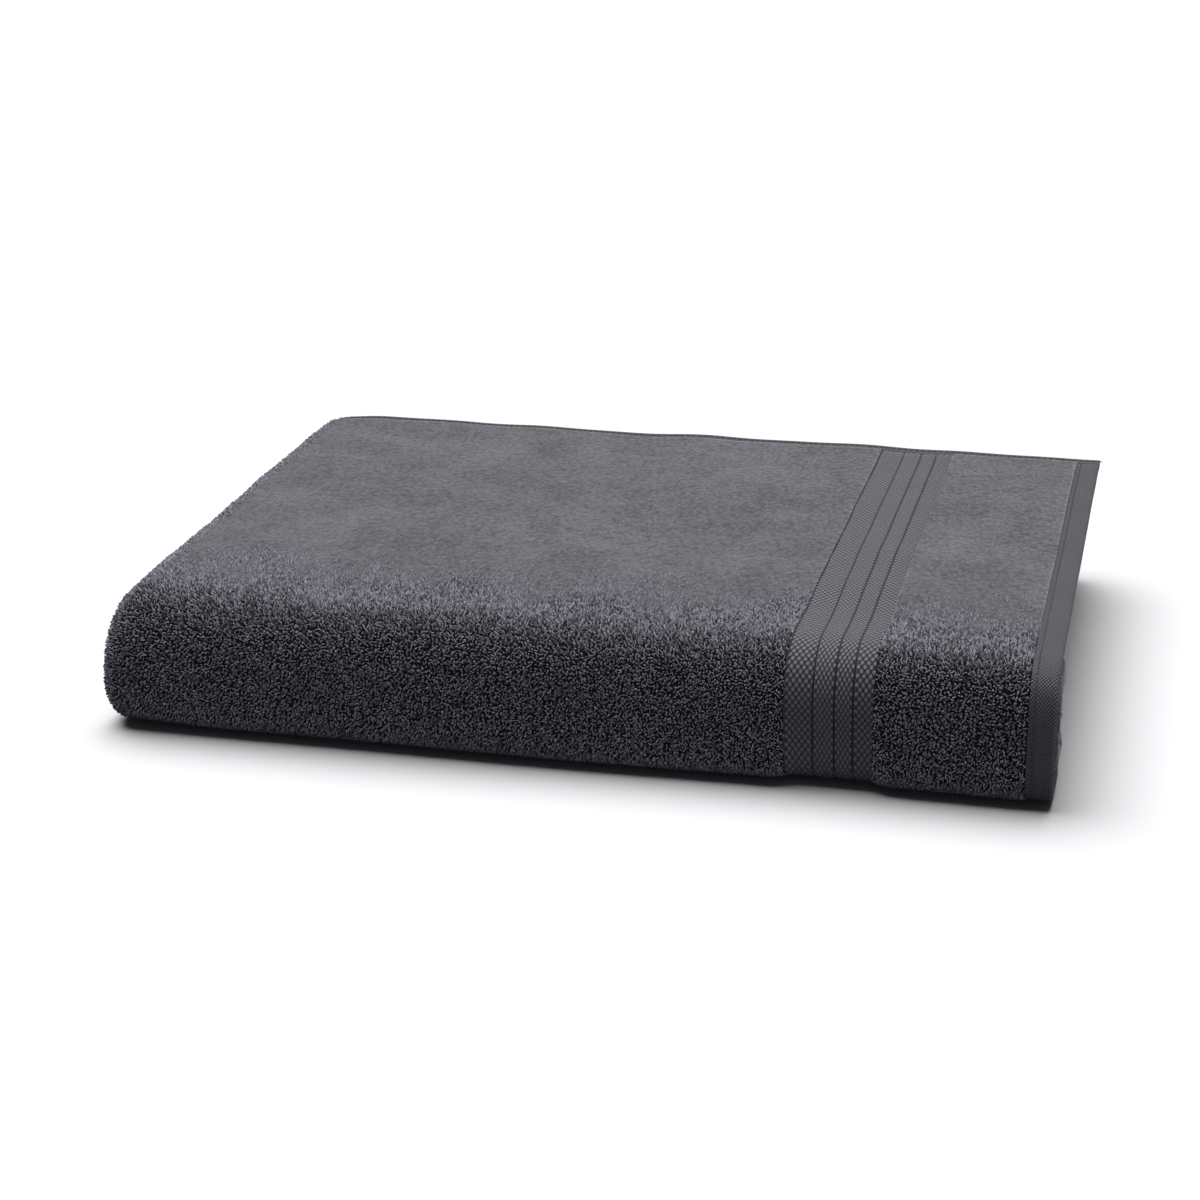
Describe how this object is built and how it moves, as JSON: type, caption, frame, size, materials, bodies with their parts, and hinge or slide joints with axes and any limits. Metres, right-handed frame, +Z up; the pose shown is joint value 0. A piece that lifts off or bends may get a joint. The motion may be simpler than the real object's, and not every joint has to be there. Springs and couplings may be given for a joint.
{
  "type": "folded bath towel",
  "caption": "Folded terry bath towel with a woven dobby border and stitched hems, whose top leaf opens about its last fold.",
  "frame": {"origin": "the middle of the towel's box in plan, on the surface that it rests on", "axes": "+X along the folded towel, from the left fold to the hemmed right end; +Y from the front fold to the back edge; +Z up"},
  "size_m": [0.35, 0.268, 0.0524],
  "materials": {
    "terry": "charcoal grey cotton loop pile, brushed on the flat faces",
    "border_weave": "flat charcoal dobby weave with small diamonds and twill",
    "hem_weave": "flat charcoal ribbed weave, folded and sewn",
    "thread": "dark grey sewing thread"
  },
  "bodies": {
    "base": {"base_inner_terry": "terry", "base_left_inner_fold": "terry", "base_left_outer_fold": "terry", "base_outer_border": "border_weave", "base_outer_end_terry": "terry", "base_outer_hem": "hem_weave", "base_outer_hem_stitch": "thread", "base_outer_terry": "terry", "base_right_fold": "terry", "base_second_border": "border_weave", "base_second_end_terry": "terry", "base_second_hem": "hem_weave", "base_second_hem_stitch": "thread", "base_second_terry": "terry", "base_side_hem": "hem_weave", "base_side_hem_stitch": "thread", "base_third_terry": "terry", "front_inner_terry": "terry", "front_left_inner_fold": "terry", "front_left_outer_fold": "terry", "front_outer_border": "border_weave", "front_outer_end_terry": "terry", "front_outer_hem": "hem_weave", "front_outer_hem_stitch": "thread", "front_outer_terry": "terry", "front_right_fold": "terry", "front_second_border": "border_weave", "front_second_end_terry": "terry", "front_second_hem": "hem_weave", "front_second_hem_stitch": "thread", "front_second_terry": "terry", "front_third_terry": "terry"},
    "top_leaf": {"top_inner_terry": "terry", "top_left_inner_fold": "terry", "top_left_outer_fold": "terry", "top_outer_border": "border_weave", "top_outer_end_terry": "terry", "top_outer_hem": "hem_weave", "top_outer_hem_stitch": "thread", "top_outer_terry": "terry", "top_right_fold": "terry", "top_second_border": "border_weave", "top_second_end_terry": "terry", "top_second_hem": "hem_weave", "top_second_hem_stitch": "thread", "top_second_terry": "terry", "top_side_hem": "hem_weave", "top_side_hem_stitch": "thread", "top_third_terry": "terry"}
  },
  "joints": [
    {"name": "leaf_fold", "type": "hinge", "parent": "base", "child": "top_leaf", "pos_m": [0, -0.1078, 0.0262], "axis": [1, 0, 0], "range_deg": [0, 178], "deforming": ["front_inner_terry", "front_left_inner_fold", "front_left_outer_fold", "front_outer_border", "front_outer_end_terry", "front_outer_hem", "front_outer_hem_stitch", "front_outer_terry", "front_right_fold", "front_second_border", "front_second_end_terry", "front_second_hem", "front_second_hem_stitch", "front_second_terry", "front_third_terry"]}
  ]
}
